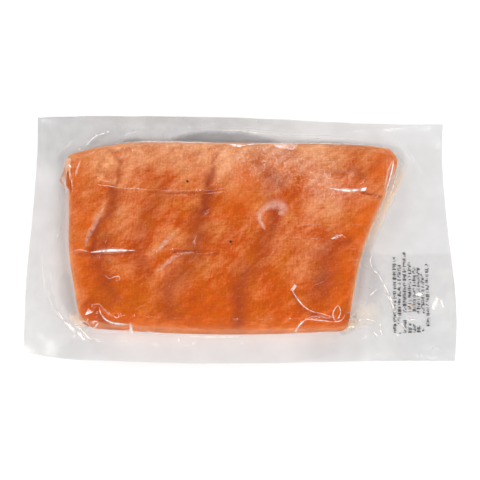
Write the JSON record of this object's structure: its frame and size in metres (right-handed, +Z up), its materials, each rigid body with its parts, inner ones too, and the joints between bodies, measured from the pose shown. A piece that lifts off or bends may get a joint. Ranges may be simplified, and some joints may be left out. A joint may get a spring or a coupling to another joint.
{
  "type": "skinless salmon portion",
  "caption": "Flat, four-sided portion of skinless salmon, sealed in a clear vacuum pouch with a wide welded margin.",
  "frame": {"origin": "centre of the pack's bounding box, on the flat back that rests on the table", "axes": "+X along the pouch towards its wide margin, +Y across it towards the edge that curls up, +Z up"},
  "size_m": [0.198, 0.1214, 0.0177],
  "materials": {
    "packed_salmon": "salmon flesh seen through clear film",
    "salmon_flesh": "moist, mottled, with darker bands and pale haze",
    "clear_film": "clear glossy film, greyer where both layers are welded",
    "meat_juice": "wet, pale straw",
    "print_ink": "printed on the film"
  },
  "bodies": {
    "root": {"sealed_pouch": "packed_salmon"}
  },
  "joints": []
}
